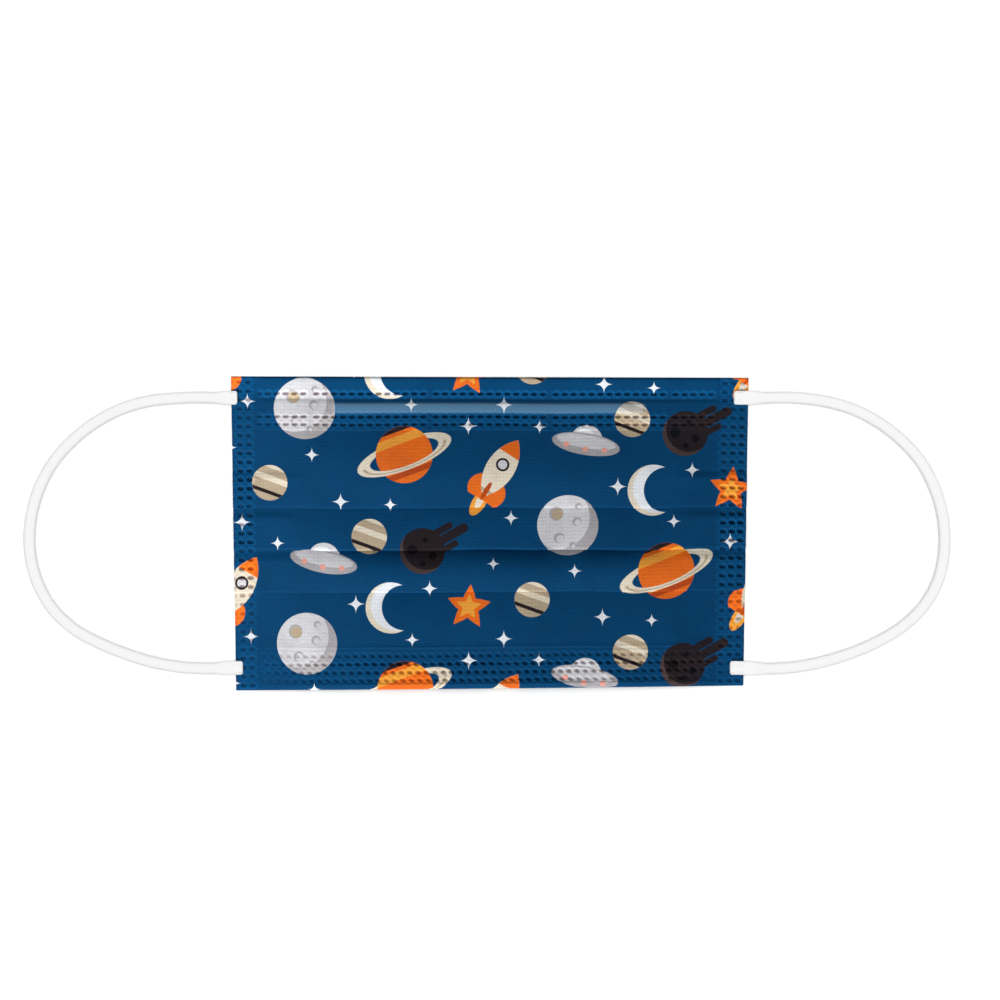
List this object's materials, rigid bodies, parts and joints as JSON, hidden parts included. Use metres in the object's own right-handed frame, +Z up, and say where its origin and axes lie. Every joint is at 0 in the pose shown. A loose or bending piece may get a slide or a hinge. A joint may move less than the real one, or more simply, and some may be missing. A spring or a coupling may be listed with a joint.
{
  "type": "child disposable face mask",
  "caption": "Flat-folded pleated face mask for a child, with a printed front, a nose wire in the top hem and an elastic loop at each side, lying face up.",
  "frame": {"origin": "on the surface that the mask lies on, under the middle of its body", "axes": "+Z up, out of the printed face; +X along the nose edge; +Y towards the nose edge, in the plane of the body"},
  "size_m": [0.2621, 0.088, 0.005],
  "materials": {
    "printed_nonwoven": "spunbond nonwoven, navy blue with an all-over print, matt with a faint sheen",
    "white_nonwoven": "plain white spunbond nonwoven of the face side, matt",
    "coated_wire": "white plastic coating over a flat soft wire",
    "elastic": "white knitted elastic, matt"
  },
  "bodies": {
    "root": {"pleated_panel": "printed_nonwoven", "nose_wire": "coated_wire", "ear_loop_left": "elastic", "ear_loop_right": "elastic"}
  },
  "joints": []
}
